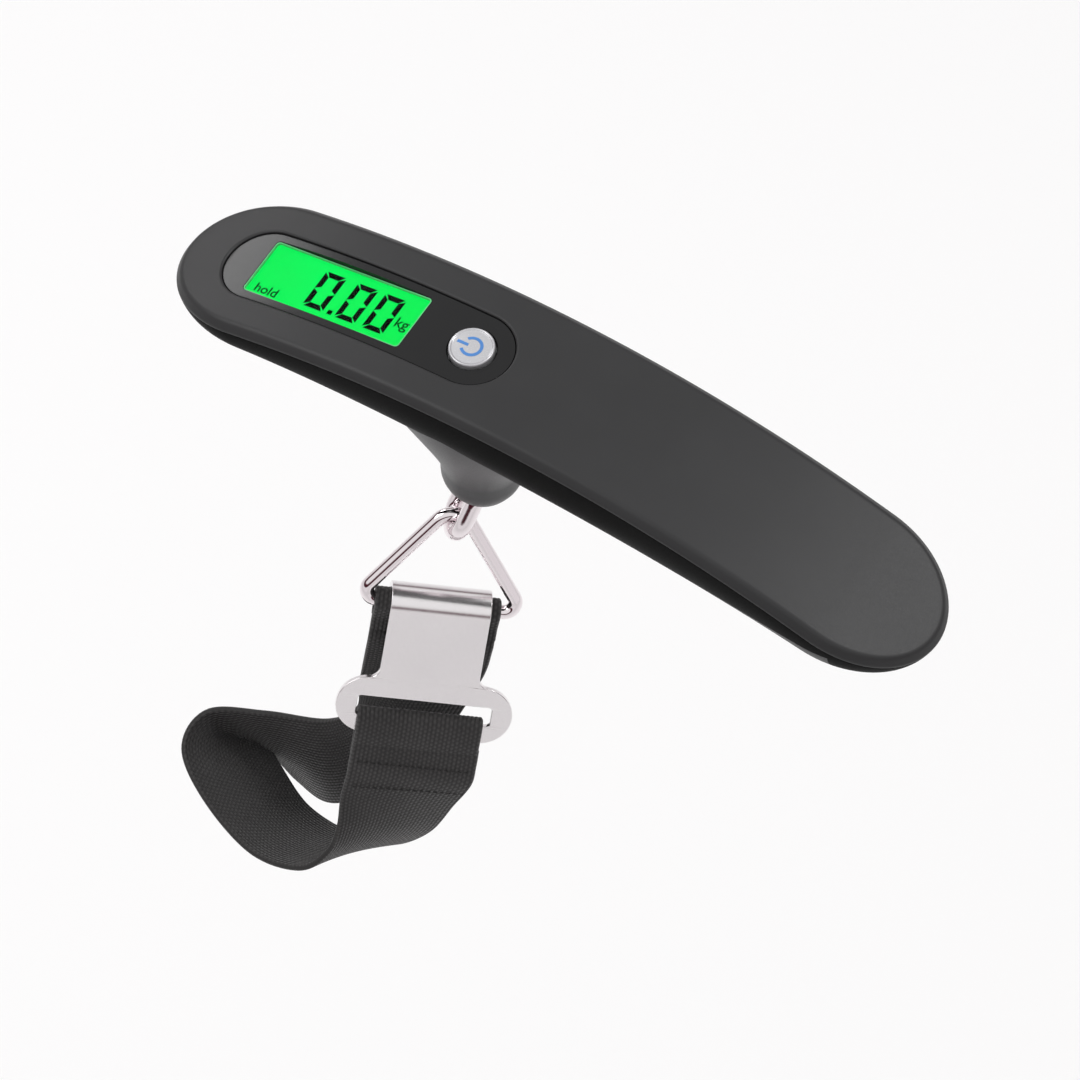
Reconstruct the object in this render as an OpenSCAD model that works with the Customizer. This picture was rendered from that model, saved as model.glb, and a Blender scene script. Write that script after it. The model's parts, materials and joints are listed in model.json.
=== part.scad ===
// Digital luggage scale: an arched handle with a backlit display and a power button, a load cell
// inside it, and a chain of link, triangle ring and hook plate that carries a webbing loop.
// Frame: origin at the centre of the hand grip, +X from the display end to the other end of the
// handle, +Z up out of the arched top face. The chain is shown swung aside by about 30 degrees.

/* [Handle] */
// Radius of the arched top face
arch_r = 221.6; // [200:1:260]
// Half the length of the top face along its arch
face_half_len = 84.65; // [82:0.05:88]
// Half the width of the top face
face_half_w = 14.6; // [14:0.1:16]
// Length of each rounded end of the top face
face_end = 18.6; // [16:0.1:22]
// Chamfer round the top face
chamfer = 1.5; // [1:0.1:1.8]
// Height of the top face's highest point above the grip's centre
apex_z = 10.5; // [9:0.5:12]
// Depth of the bottom shell at the ends of the handle
belly_end = 6; // [5:0.5:7]
// Extra depth of the bottom shell at its deepest place
belly_mid = 13; // [12:0.5:14]
// Wall thickness of the two shells
wall = 1.6; // [1.4:0.1:1.8]

/* [Display] */
// Place of the display's centre along the arch
lcd_s = -50.1; // [-51:0.1:-49]
// Length of the window over the display
lcd_len = 35.8; // [34:0.1:36]
// Width of the window over the display
lcd_w = 12.7; // [12:0.1:13]
// Place of the power button along the arch
button_s = -19.3; // [-20:0.1:-19]
// Radius of the power button's head
button_r = 4.5; // [4.2:0.1:4.6]
// Travel of the power button
button_travel = 0.5; // [0.3:0.1:0.5]

/* [Battery] */
// Diameter of the coin cell
cell_d = 20; // [20:0.1:20]
// Thickness of the coin cell
cell_t = 3.2; // [3.2:0.1:3.2]
// Place of the battery's centre along X
cell_x = 52; // [51:0.5:53]

/* [Chain] */
// Place of the hanging boss along X
boss_x = -17; // [-17.5:0.5:-16.5]
// Radius of the hanging boss
boss_r = 8.15; // [8:0.05:8.5]
// Radius of the link's wire
link_wire_r = 1.75; // [1.7:0.05:1.75]
// Radius of the ring's wire
ring_wire_r = 1.4; // [1.3:0.05:1.4]
// Half the width of the triangle ring between wire centres
ring_half_w = 14.45; // [14.2:0.05:15]
// Height of the triangle ring between wire centres
ring_h = 20.6; // [20:0.1:21]
// Thickness of the hook plate
plate_t = 1.2; // [1:0.1:1.2]

/* [Webbing] */
// Thickness of the webbing
strap_t = 1.2; // [1:0.1:1.2]
// Left edge of the webbing at the hook plate
strap_x0 = -12.7; // [-12.8:0.1:-12.5]
// Right edge of the webbing at the hook plate
strap_x1 = 12; // [11.5:0.1:12]

/* [Hidden] */

$fn = 48;
eps = 0.05;

// Heights below are measured from the top face, along its normal.
lip_h = chamfer + 0.5;          // the line where the two shells part
seat_h = lip_h + eps;           // the bottom shell's rim
end_steps = 8;                  // points in a quarter of a rounded end
side_steps = 12;                // points along a straight side
belly_power = 2.6;              // squareness of the bottom shell's section
belly_s = 5;                    // place of the deepest section
belly_reach = 91;               // half the length over which the depth falls off

// Point of the arch at length s, width y and height h over the top face.
function on_arch(s, y, h) = let (a = s / arch_r * 180 / PI)
    [(arch_r + h) * sin(a), y, (arch_r + h) * cos(a) - arch_r + apex_z];

// Outline of the handle, inset from the top face's outline, as [s, y] pairs from the +X tip round.
function outline_from(half_len, half_w, end_len) = let (
    straight = half_len - end_len,
    quarter = [for (k = [0 : end_steps - 1]) let (t = 90 * k / end_steps)
        [straight + end_len * cos(t), half_w * sin(t)]],
    side = [for (k = [0 : side_steps]) [straight * (1 - 2 * k / side_steps), half_w]],
    far = [for (k = [end_steps - 1 : -1 : 1]) [-quarter[k][0], quarter[k][1]]],
    upper = concat(quarter, side, far),
    tip = [[-half_len, 0]],
    lower = [for (k = [len(upper) - 1 : -1 : 1]) [upper[k][0], -upper[k][1]]]
) concat(upper, tip, lower);

function outline(inset) = outline_from(face_half_len - inset, face_half_w - inset,
    face_end * (face_half_w - inset) / face_half_w);

// Depth of the bottom shell under its rim at length s.
function belly(s) = let (t = min(1, abs((s - belly_s) / belly_reach)))
    belly_end + belly_mid * pow(1 - t * t, 1.2);

function ring_at(inset, h) = [for (p = outline(inset)) on_arch(p[0], p[1], -h)];

// Ring of the bottom shell at section angle t, for a wall set in by the value given.
function belly_ring(t, set_in) = let (
    half_w = face_half_w + chamfer - set_in,
    across = pow(cos(t), 2 / belly_power),
    down = pow(sin(t), 2 / belly_power)
) [for (p = outline(face_half_w - half_w * across))
    on_arch(p[0], p[1], -seat_h - (belly(p[0]) - set_in) * down)];

// Closed solid through rings of equal length. Each ring mirrors in y, so both caps are strips.
module stack(rings) {
    n = len(rings[0]);
    m = len(rings);
    half = n / 2;
    cap = [for (k = [0 : half - 1]) k == 0 ? [0, 1, n - 1]
        : (k == half - 1 ? [k, half, n - k] : [k, k + 1, n - k - 1, n - k])];
    sides = [for (j = [0 : m - 2]) for (k = [0 : n - 1]) let (q = (k + 1) % n)
        for (tri = [[j * n + k, j * n + q, (j + 1) * n + q],
                    [j * n + k, (j + 1) * n + q, (j + 1) * n + k]]) tri];
    top = [for (f = cap) [for (i = [len(f) - 1 : -1 : 0]) f[i]]];
    base = [for (f = cap) [for (v = f) v + (m - 1) * n]];
    polyhedron(points = [for (r = rings) each r], faces = concat(top, sides, base), convexity = 8);
}

// Places children on the arch at length s, with +Z along the top face's normal.
module at_arch(s, h = 0) {
    translate(on_arch(s, 0, h)) rotate([0, s / arch_r * 180 / PI, 0]) children();
}

module slab(x0, x1, y0, y1, z0, z1) {
    translate([x0, y0, z0]) cube([x1 - x0, y1 - y0, z1 - z0]);
}

module plate_xy(size_x, size_y, corner, z0, z1) {
    translate([0, 0, z0]) linear_extrude(z1 - z0) rounded(size_x, size_y, corner);
}

module rounded(size_x, size_y, corner) {
    square([size_x - 2 * corner, size_y], center = true);
    square([size_x, size_y - 2 * corner], center = true);
    for (sx = [-1, 1], sy = [-1, 1])
        translate([sx * (size_x / 2 - corner), sy * (size_y / 2 - corner)]) circle(corner);
}

/* Handle shells */

lip_in = wall + 0.35;
lip_depth = 1.1;
panel_s = -43.2;
panel_half_len = 32.2;
panel_half_w = 8.25;
panel_h = 0.5;

// Outline of the display panel on the arch, grown by the value given.
function panel_ring(grow, h) = [
    for (p = outline_from(panel_half_len + grow, panel_half_w + grow, panel_half_w + grow))
        on_arch(p[0] + panel_s, p[1], -h)];

post_s = [-79.6, 31.5, 78];
post_r = 2.2;
screw_r = 0.9;
post_drop = [3.8, 15.5, 5.2];
// Depth of the bottom shell's outside at each post
post_floor = [8.45, 19.95, 10.7];
head_r = 1.8;
head_t = 1;

module top_shell() {
    base = chamfer;
    color([0.2, 0.2, 0.21]) difference() {
        union() {
            stack([
                ring_at(0, 0), ring_at(-base, base), ring_at(-base, lip_h),
                ring_at(lip_in - base, lip_h), ring_at(lip_in - base, lip_h + lip_depth),
                ring_at(lip_in + 1 - base, lip_h + lip_depth), ring_at(lip_in + 1 - base, 1.9)
            ]);
            for (i = [0 : 2]) at_arch(post_s[i], -1.5 - post_drop[i])
                cylinder(r = post_r, h = post_drop[i]);
        }
        stack([panel_ring(0.1, -1), panel_ring(0.1, 2.5)]);
        for (i = [0 : 2]) at_arch(post_s[i], -1.6 - post_drop[i])
            cylinder(r = screw_r + 0.05, h = post_drop[i] - 1.2);
    }
}

belly_angles = [0, 14, 28, 44, 60, 74];
door_x = [36, 68.5];
door_z = -4.4;
door_gap = 0.15;

module belly_shell() {
    stack(concat([for (t = belly_angles) belly_ring(t, 0)]));
}

module belly_cavity(extra = 0) {
    stack(concat([ring_at(wall - chamfer, 1)], [for (t = belly_angles) belly_ring(t, wall + extra)]));
}

module door_zone(gap) {
    slab(door_x[0] - gap, door_x[1] + gap, -20, 20, -40, door_z + gap);
}

module bottom_shell() {
    color([0.04, 0.04, 0.04]) difference() {
        belly_shell();
        belly_cavity();
        door_zone(door_gap);
        translate([boss_x, 0, -40]) cylinder(r = boss_r + boss_flare + 0.1, h = 40);
        for (i = [0 : 2]) {
            at_arch(post_s[i], -30) cylinder(r = screw_r + 0.3, h = 30);
            at_arch(post_s[i], 0.9 - post_floor[i] - 10) cylinder(r = head_r + 0.3, h = 10);
        }
    }
}

module case_screws() {
    color([0.75, 0.75, 0.78]) for (i = [0 : 2]) at_arch(post_s[i], 0.85 - head_t - post_floor[i]) {
        cylinder(r = head_r, h = head_t);
        cylinder(r = screw_r, h = head_t + 4);
    }
}

module battery_door() {
    color([0.2, 0.2, 0.21]) intersection() {
        difference() {
            belly_shell();
            belly_cavity();
        }
        door_zone(0);
    }
}

/* Display and controls. The board stack is flat, square to the arch at the display's centre. */

module in_stack() {
    at_arch(lcd_s) children();
}

button_at = arch_r * sin((button_s - lcd_s) / arch_r * 180 / PI);
board_top = -7.2;
board_bottom = -8.4;
board_x = [-22, 36];

module display_panel() {
    color([0.16, 0.16, 0.17]) difference() {
        stack([
            panel_ring(0, panel_h), panel_ring(0, 2.1),
            panel_ring(1.5, 2.1), panel_ring(1.5, 2.9)
        ]);
        in_stack() plate_xy(lcd_len + 0.2, lcd_w + 0.2, 0.8, -6, 2);
        at_arch(button_s, -6) cylinder(r = button_r + 0.2, h = 8);
    }
}

module lcd_window() {
    color([0.85, 0.95, 0.9, 0.4]) in_stack() plate_xy(lcd_len, lcd_w, 0.7, -2.0, -1.35);
}

module lcd_glass() {
    color([0.1, 0.95, 0.4]) in_stack() plate_xy(lcd_len - 0.2, lcd_w - 0.2, 0.3, -3.95, -2.05);
}

module lcd_backlight() {
    color([0.9, 0.9, 0.88]) in_stack() plate_xy(35, 13.2, 0.5, -6.4, -4.05);
}

module lcd_frame() {
    color([0.1, 0.1, 0.1]) in_stack() difference() {
        plate_xy(40, 16, 1, board_top + eps, -4.05);
        plate_xy(36.6, 13.6, 0.5, -8, -2);
    }
}

module lcd_ribbon() {
    color([0.75, 0.5, 0.15]) in_stack() slab(-17.75, -17.55, -5, 5, board_top, -3.95);
}

module main_board() {
    mid = (board_x[0] + board_x[1]) / 2;
    color([0.1, 0.4, 0.2]) in_stack() difference() {
        translate([mid, 0, 0]) plate_xy(board_x[1] - board_x[0], 19, 2, board_bottom, board_top);
        for (x = board_screw_x) translate([x, 0, -9]) cylinder(r = 1, h = 4);
    }
}

board_screw_x = [-20.2, 23.5];

module board_screws() {
    color([0.75, 0.75, 0.78]) in_stack() for (x = board_screw_x) translate([x, 0, board_bottom]) {
        translate([0, 0, -0.8]) cylinder(r = 1.6, h = 0.8);
        cylinder(r = 0.95, h = board_top - board_bottom);
    }
}

module controller_chip() {
    color([0.05, 0.05, 0.05]) in_stack()
        translate([2, 0, 0]) plate_xy(9, 9, 0.4, board_bottom - 1.3, board_bottom);
}

module board_parts() {
    color([0.7, 0.6, 0.4]) in_stack() {
        for (i = [0 : 4]) slab(10 + 2.4 * i, 11.2 + 2.4 * i, 3, 5, board_bottom - 0.7, board_bottom);
        for (i = [0 : 3]) slab(-16 + 3 * i, -14 + 3 * i, -6, -4.8, board_bottom - 0.7, board_bottom);
        translate([16, -4, board_bottom - 1.6]) cylinder(r = 1.8, h = 1.6);
    }
}

module tact_switch() {
    color([0.7, 0.7, 0.72]) in_stack() translate([button_at, 0, 0]) difference() {
        plate_xy(5, 5, 0.4, board_top, board_top + 0.6);
        translate([0, 0, board_top - 1]) cylinder(r = 1.7, h = 3);
    }
}

module backlight_led() {
    color([0.2, 0.9, 0.3]) in_stack() slab(21.2, 23, -1, 1, board_top, board_top + 1.2);
}

module power_button() {
    color([0.85, 0.86, 0.88]) at_arch(button_s) {
        translate([0, 0, -3.05]) cylinder(r = button_r, h = 2.85);
        translate([0, 0, -0.2]) cylinder(r1 = button_r, r2 = button_r - 0.5, h = 0.5, $fn = 64);
        translate([0, 0, -3.45]) cylinder(r = button_r + 0.6, h = 0.4);
    }
}

module button_plunger() {
    color([0.6, 0.1, 0.1]) at_arch(button_s) translate([0, 0, -4.1]) cylinder(r = 1, h = 0.65);
}

/* Power supply */

cell_z = -5.5;

module battery_tray() {
    color([0.1, 0.1, 0.1]) translate([cell_x, 0, 0]) difference() {
        translate([0, 0, cell_z - cell_t / 2]) cylinder(r = cell_d / 2 + 1.2, h = cell_t + 1.6);
        translate([0, 0, cell_z - cell_t / 2 - 1]) cylinder(r = cell_d / 2 + 0.2, h = cell_t + 1.2);
        translate([0, 0, cell_z]) cylinder(r = 6, h = 10);
        slab(-20, -6, -2, 2, cell_z - 5, cell_z + 1.4);
    }
}

module coin_cell() {
    color([0.8, 0.8, 0.82]) translate([cell_x, 0, cell_z - cell_t / 2]) {
        cylinder(r = cell_d / 2, h = cell_t - 0.6);
        translate([0, 0, cell_t - 0.6]) cylinder(r = cell_d / 2 - 1.6, h = 0.6);
    }
}

module contact_negative() {
    top = cell_z + cell_t / 2;
    color([0.85, 0.8, 0.6]) {
        slab(cell_x - 5.5, cell_x + 5.5, -1.5, 1.5, top + 0.02, top + 0.32);
        slab(cell_x - 5.5, cell_x - 5.2, -1.5, 1.5, top + 0.32, top + 2.4);
    }
}

module contact_positive() {
    color([0.85, 0.8, 0.6]) slab(cell_x - 10.6, cell_x - 10.3, -1.8, 1.8, cell_z - 1.5, cell_z + 1.2);
}

// Wire along points that share one y, as one closed tube of eight sides.
module wire_run(points, r) {
    last = len(points) - 1;
    rings = [for (k = [0 : last]) let (
        v = points[min(k + 1, last)] - points[max(k - 1, 0)],
        side = [-v[2], 0, v[0]] / norm(v))
        each [for (t = [0 : 45 : 315]) points[k] + r * (cos(t) * side + sin(t) * [0, 1, 0])]];
    sides = [for (k = [0 : last - 1]) for (c = [0 : 7]) let (
        a = 8 * k + c, b = 8 * k + (c + 1) % 8)
        for (tri = [[a, b, b + 8], [a, b + 8, a + 8]]) tri];
    polyhedron(points = rings, convexity = 4, faces = concat([[for (c = [7 : -1 : 0]) c]],
        sides, [[for (c = [0 : 7]) 8 * last + c]]));
}

module battery_wires() {
    color([0.75, 0.1, 0.1]) for (y = [7, 8.6])
        wire_run([[42, y, -2], [36, y, 1.5], [20, y, 4.6], [-6, y, 4.4]], 0.5);
}

/* Load cell */

cell_bar_z = [-6.3, -0.3];
cell_bar_x = [-23, 26];
fix_x = [16, 22];

module load_cell() {
    mid_z = (cell_bar_z[0] + cell_bar_z[1]) / 2;
    color([0.78, 0.8, 0.82]) difference() {
        slab(cell_bar_x[0], cell_bar_x[1], -6, 6, cell_bar_z[0], cell_bar_z[1]);
        for (x = [-5, 5]) translate([x, 10, mid_z]) rotate([90, 0, 0]) cylinder(r = 2.2, h = 20);
        slab(-5, 5, -10, 10, mid_z - 1, mid_z + 1);
        translate([boss_x, 0, -20]) cylinder(r = 2.1, h = 40);
        for (x = fix_x) translate([x, 0, -20]) cylinder(r = 1.3, h = 40);
    }
}

module load_cell_block() {
    color([0.5, 0.5, 0.52]) difference() {
        slab(12.5, 26, -6.5, 6.5, -7.6, cell_bar_z[0]);
        for (x = fix_x) translate([x, 0, -20]) cylinder(r = 1.3, h = 40);
    }
}

module load_cell_screws() {
    color([0.7, 0.7, 0.72]) for (x = fix_x) {
        translate([x, 0, cell_bar_z[1]]) cylinder(r = 2.2, h = 1.4);
        translate([x, 0, -7.5]) cylinder(r = 1.25, h = cell_bar_z[1] + 7.5);
    }
}

module strain_gauges() {
    color([0.95, 0.95, 0.92]) for (x = [-5, 5])
        translate([x, 0, cell_bar_z[1]]) plate_xy(7, 6, 1, 0, 0.5);
}

module gauge_wires() {
    color([0.1, 0.3, 0.7]) for (y = [-1.8, -0.6, 0.6, 1.8])
        wire_run([[-1.2, y, 0.4], [-4, y, 2.6], [-9.5, y, 3]], 0.4);
}

/* Hanging boss and the eye in it */

boss_tip = apex_z - 44.3;
nose_z = apex_z - 39.7;
eye_r = 4.4;
eye_wire_r = 1.25;
eye_z = apex_z - 43.2;
stud_r = 2;

boss_flare = 2.1;
flare_z = -10.9;
mouth_r = 6.5;

// Round boss: a collar in the shell's hole, a concave flare, a straight shank and a rounded nose.
module hanging_boss() {
    color([0.32, 0.32, 0.33]) translate([boss_x, 0, 0]) difference() {
        rotate_extrude() polygon(concat(
            [[0, -7.9], [boss_r + boss_flare, -7.9]],
            [for (t = [0 : 15 : 90])
                [boss_r + boss_flare * (1 - sin(t)), flare_z - boss_flare * (1 - cos(t))]],
            [for (t = [0 : 5 : 35]) [boss_r * cos(t), nose_z - boss_r * sin(t)]],
            [[boss_r * cos(35) - 0.1, boss_tip], [0, boss_tip]]
        ));
        translate([0, 0, boss_tip - 1]) cylinder(r = mouth_r, h = 4);
        translate([0, 0, boss_tip + 2.9]) cylinder(r = 6.7, h = 13.5);
        translate([0, 0, boss_tip]) cylinder(r = 2.4, h = 60);
    }
}

// The eye's plane holds the vertical and the direction in which the link swings.
eye_turn = 56;

module hanger_eye() {
    color([0.8, 0.8, 0.82]) translate([boss_x, 0, 0]) {
        translate([0, 0, eye_z]) rotate([0, 0, eye_turn]) rotate([90, 0, 0])
            rotate_extrude() translate([eye_r, 0]) circle(eye_wire_r);
        translate([0, 0, eye_z + eye_r]) cylinder(r = stud_r, h = 2.9 - eye_z - eye_r);
    }
}

module hanger_nut() {
    color([0.7, 0.7, 0.72]) translate([boss_x, 0, cell_bar_z[1]]) difference() {
        cylinder(r = 3.8, h = 2.6, $fn = 6);
        translate([0, 0, -1]) cylinder(r = stud_r + 0.02, h = 5, $fn = 48);
    }
}

/* Chain. Each frame has +Z up along the piece and the piece hanging below its origin. */

eye_at = [boss_x, 0, eye_z];
link_turn = [-28.7, -25.6, -46.5];
chain_turn = [-27.5, 9.25, 30.8];
link_half_gap = 4.05;
link_len = 12.6;
link_play = 0.1;
ring_play = 0.15;

// Angle by which the link is swung round the eye's axis from straight down.
link_swing = 31;

// Direction down a piece that is turned by the angles given.
function down(turn) = let (a = turn[0], b = turn[1], c = turn[2]) -[
    cos(a) * sin(b) * cos(c) + sin(a) * sin(c),
    cos(a) * sin(b) * sin(c) - sin(a) * cos(c),
    cos(a) * cos(b)];

eye_contact = eye_at + eye_r * [-sin(link_swing) * cos(eye_turn),
    -sin(link_swing) * sin(eye_turn), -cos(link_swing)];
// Centres of the link's upper wire, its lower wire and the ring's wire at its apex
link_head = eye_contact - (eye_wire_r + link_wire_r + link_play) * down(link_turn);
link_foot = link_head + link_len * down(link_turn);
ring_pin = link_foot - (link_wire_r + ring_wire_r + ring_play) * down(chain_turn);

// Origin at the centre of the link's upper wire.
module link_frame() {
    translate(link_head) rotate(link_turn) children();
}

// Origin at the middle of the ring's base bar.
module bar_frame() {
    translate(ring_pin) rotate(chain_turn) translate([0, 0, -ring_h]) children();
}

module hanger_link() {
    low = link_len - 2 * link_half_gap;
    color([0.8, 0.78, 0.79]) link_frame() translate([0, 0, -link_half_gap]) {
        for (sx = [-1, 1]) translate([sx * link_half_gap, 0, -low])
            cylinder(r = link_wire_r, h = low);
        rotate([90, 0, 0]) rotate_extrude(angle = 180) translate([link_half_gap, 0])
            circle(link_wire_r);
        translate([0, 0, -low]) rotate([90, 180, 0]) rotate_extrude(angle = 180)
            translate([link_half_gap, 0]) circle(link_wire_r);
    }
}

apex_bend = 3.9;
corner_bend = 2.2;
// Each leg is the outer common tangent of the apex bend and a corner bend.
bend_gap = [ring_half_w - corner_bend, corner_bend - (ring_h - apex_bend)];
leg_normal = atan2(bend_gap[1], bend_gap[0]) + acos((apex_bend - corner_bend) / norm(bend_gap));
ring_sides = 14;

// Bend of wire as [centre x, centre z, bend radius, normal angle] for each step of its arc.
function bend(cx, cz, r, from, to, steps) = [for (k = [0 : steps])
    [cx, cz, r, from + (to - from) * k / steps]];

// Rounded triangle of wire in the XZ plane: the legs and the bar join three bends.
module triangle_ring() {
    path = concat(
        bend(0, ring_h - apex_bend, apex_bend, leg_normal, 180 - leg_normal, 8),
        bend(corner_bend - ring_half_w, corner_bend, corner_bend, 180 - leg_normal, 270, 6),
        bend(ring_half_w - corner_bend, corner_bend, corner_bend, 270, 360 + leg_normal, 6));
    m = len(path);
    n = ring_sides;
    pts = [for (q = path) for (c = [0 : n - 1]) let (
        t = 360 * c / n, reach = q[2] + ring_wire_r * cos(t))
        [q[0] + reach * cos(q[3]), ring_wire_r * sin(t), q[1] + reach * sin(q[3])]];
    faces = [for (k = [0 : m - 1]) for (c = [0 : n - 1]) let (
        a = n * k + c, b = n * k + (c + 1) % n, d = n * ((k + 1) % m))
        for (tri = [[a, d + (c + 1) % n, b], [a, d + c, d + (c + 1) % n]]) tri];
    color([0.8, 0.78, 0.79]) bar_frame() polyhedron(points = pts, faces = faces, convexity = 4);
}

sleeve_in = ring_wire_r + eps;
sleeve_out = sleeve_in + strap_t;

module ring_strap_end() {
    color([0.16, 0.16, 0.16]) bar_frame() translate([-12, 0, 0]) rotate([90, 0, 90])
        linear_extrude(23.6) difference() {
            union() {
                circle(sleeve_out);
                translate([-strap_t, -9]) square([2 * strap_t, 9]);
            }
            circle(sleeve_in);
        }
}

// Edges of the webbing loop, from the hook plate round to the ring's bar: near edge, far edge.
loop_edges = [
    [[-12.7, -3.3, -37.4], [12, -3.3, -37.4]],
    [[-13.2, -3.6, -43], [9.6, -0.5, -44]],
    [[-13, -4.2, -50], [6.5, 5, -54]],
    [[-14.3, -4.8, -55.5], [1, 12, -62]],
    [[-19, -3, -61], [-7, 19, -65.5]],
    [[-28, 4.5, -63], [-15.5, 26, -64.5]],
    [[-37.5, 16, -59], [-21.5, 33, -60]],
    [[-42.2, 25.5, -53.5], [-23.5, 38.5, -59]],
    [[-38, 31, -48], [-21.5, 41, -62.5]],
    [[-27, 28, -45], [-16.5, 36.5, -65.5]],
    [[-15.5, 21, -41], [-10.5, 27.5, -64]],
    [[-10.8, 14, -33], [-2.5, 19.5, -54.5]],
    [[-11.8, 8.5, -24], [6, 11, -37]],
    [[-12, 4, -16], [11, 5, -19]],
    [[-12, 0.3, -9.4], [11.6, 0.3, -9.4]]
];
loop_steps = 4;

function spline(p0, p1, p2, p3, t) = 0.5 * (2 * p1 + (p2 - p0) * t
    + (2 * p0 - 5 * p1 + 4 * p2 - p3) * t * t + (3 * p1 - p0 - 3 * p2 + p3) * t * t * t);

function edge_point(e, i, t) = let (n = len(loop_edges) - 1, p = [for (q = loop_edges) q[e]])
    spline(i > 0 ? p[i - 1] : 2 * p[0] - p[1], p[i], p[i + 1],
        i + 2 <= n ? p[i + 2] : 2 * p[n] - p[n - 1], t);

loop_count = (len(loop_edges) - 1) * loop_steps;
function loop_edge(e, k) = let (i = min(floor(k / loop_steps), len(loop_edges) - 2))
    edge_point(e, i, k / loop_steps - i);

// Unit normal of the webbing at station k.
function loop_normal(k) = let (
    a = max(k - 1, 0), b = min(k + 1, loop_count),
    along = (loop_edge(0, b) + loop_edge(1, b) - loop_edge(0, a) - loop_edge(1, a)) / 2,
    n = cross(along, loop_edge(1, k) - loop_edge(0, k))
) n / norm(n);

module strap_loop() {
    half = strap_t / 2;
    pts = [for (k = [0 : loop_count]) let (n = loop_normal(k) * half)
        each [loop_edge(0, k) + n, loop_edge(1, k) + n, loop_edge(1, k) - n, loop_edge(0, k) - n]];
    last = 4 * loop_count;
    sides = [for (k = [0 : loop_count - 1]) for (c = [0 : 3]) let (
        a = 4 * k + c, b = 4 * k + (c + 1) % 4)
        for (tri = [[a, b, b + 4], [a, b + 4, a + 4]]) tri];
    color([0.16, 0.16, 0.16]) bar_frame() polyhedron(points = pts, convexity = 6,
        faces = concat([[0, 3, 2, 1]], sides, [[last, last + 1, last + 2, last + 3]]));
}

/* Hook plate */

roll_in = sleeve_out + eps;
roll_out = roll_in + plate_t;
neck_half_w = 9.75;
lobe_half_w = 17.25;
lobe_z = [-27.8, -15.4];
slot_half_len = 13.15;
slot_z = [-23.9, -19.6];

module plate_outline() {
    mid = (lobe_z[0] + lobe_z[1]) / 2;
    lobe_r = (lobe_z[1] - lobe_z[0]) / 2;
    fillet = 2;
    difference() {
        union() {
            translate([-neck_half_w, lobe_z[1] - 1]) square([2 * neck_half_w, 1 - lobe_z[1]]);
            translate([0, mid]) square([2 * (lobe_half_w - lobe_r), 2 * lobe_r], center = true);
            for (sx = [-1, 1]) {
                translate([sx * (lobe_half_w - lobe_r), mid]) circle(lobe_r);
                translate([sx * (neck_half_w + fillet / 2), lobe_z[1] + fillet / 2 - 0.01])
                    square([fillet, fillet + 0.02], center = true);
            }
        }
        for (sx = [-1, 1]) translate([sx * (neck_half_w + fillet), lobe_z[1] + fillet])
            circle(fillet);
        translate([0, (slot_z[0] + slot_z[1]) / 2])
            rounded(2 * slot_half_len, slot_z[1] - slot_z[0], 0.5);
    }
}

module hook_plate() {
    color([0.85, 0.83, 0.83]) bar_frame() {
        translate([0, -roll_in, 0]) rotate([90, 0, 0]) linear_extrude(plate_t) plate_outline();
        translate([-neck_half_w, 0, 0]) rotate([90, 0, 90]) rotate_extrude_roll();
    }
}

// The roll over the bar: a half turn of plate from the front face over the top to the back.
module rotate_extrude_roll() {
    linear_extrude(2 * neck_half_w) difference() {
        circle(roll_out);
        circle(roll_in);
        translate([-10, -20]) square([20, 20]);
    }
}

rail_gap = 0.05;

module hook_strap_end() {
    front = -roll_out - rail_gap;
    back = -roll_in + rail_gap;
    mid = (front + back) / 2;
    color([0.16, 0.16, 0.16]) bar_frame() translate([strap_x0, 0, 0]) rotate([90, 0, 90])
        linear_extrude(strap_x1 - strap_x0) {
            difference() {
                translate([mid, (slot_z[0] + lobe_z[0]) / 2])
                    rounded(back - front + 2 * strap_t, slot_z[0] - lobe_z[0] + 2 * strap_t, 1.1);
                translate([front, lobe_z[0] - rail_gap])
                    square([back - front, slot_z[0] - lobe_z[0] + 2 * rail_gap]);
            }
            translate([mid - strap_t, -37.1]) square([2 * strap_t, 9.1 + lobe_z[0] + 27.8 - 0.5]);
        }
}

top_shell();
bottom_shell();
case_screws();
display_panel();
lcd_window();
lcd_glass();
lcd_backlight();
lcd_frame();
lcd_ribbon();
main_board();
controller_chip();
board_parts();
board_screws();
tact_switch();
backlight_led();
power_button();
button_plunger();
battery_tray();
coin_cell();
contact_positive();
contact_negative();
battery_wires();
battery_door();
hanging_boss();
load_cell();
load_cell_block();
load_cell_screws();
strain_gauges();
gauge_wires();
hanger_eye();
hanger_nut();
hanger_link();
triangle_ring();
ring_strap_end();
strap_loop();
hook_plate();
hook_strap_end();
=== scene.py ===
"""Looks of the digital luggage scale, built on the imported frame.

Lengths are in millimetres until a mesh is made. Handle: +X away from the display, +Z up.
"""

import json
import math

import bmesh
import bpy
from mathutils import Euler, Matrix, Vector


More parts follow.
